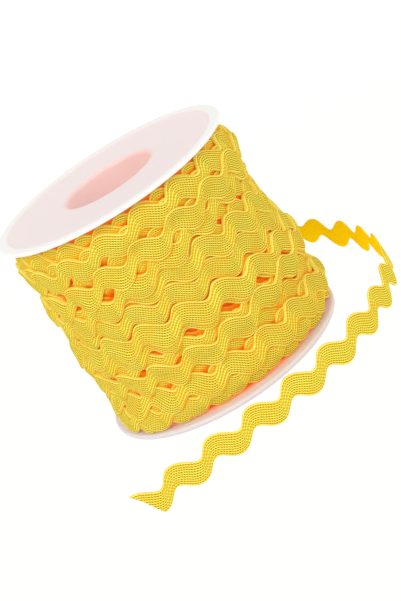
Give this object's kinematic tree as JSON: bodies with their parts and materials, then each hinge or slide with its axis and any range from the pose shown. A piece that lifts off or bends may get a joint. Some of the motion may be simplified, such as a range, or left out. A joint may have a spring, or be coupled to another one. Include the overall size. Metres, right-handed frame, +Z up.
{
  "type": "roll of ric rac",
  "caption": "Wavy flat ric rac braid wound in uneven rows on a frosted plastic spool with a through bore, one loose end curling round it on edge",
  "frame": {"origin": "middle of the lower flange's underside, on the spool's axis, where the roll rests", "axes": "+Z up along the spool's axis, -Y towards the side that the picture shows"},
  "size_m": [0.0845, 0.1086, 0.058],
  "materials": {
    "spool_plastic": "frosted, slightly see-through white with a pink tint",
    "braid": "ribbed yellow braid with a soft sheen"
  },
  "bodies": {
    "root": {"spool": "spool_plastic", "winding": "braid", "loose_end": "braid"}
  },
  "joints": []
}
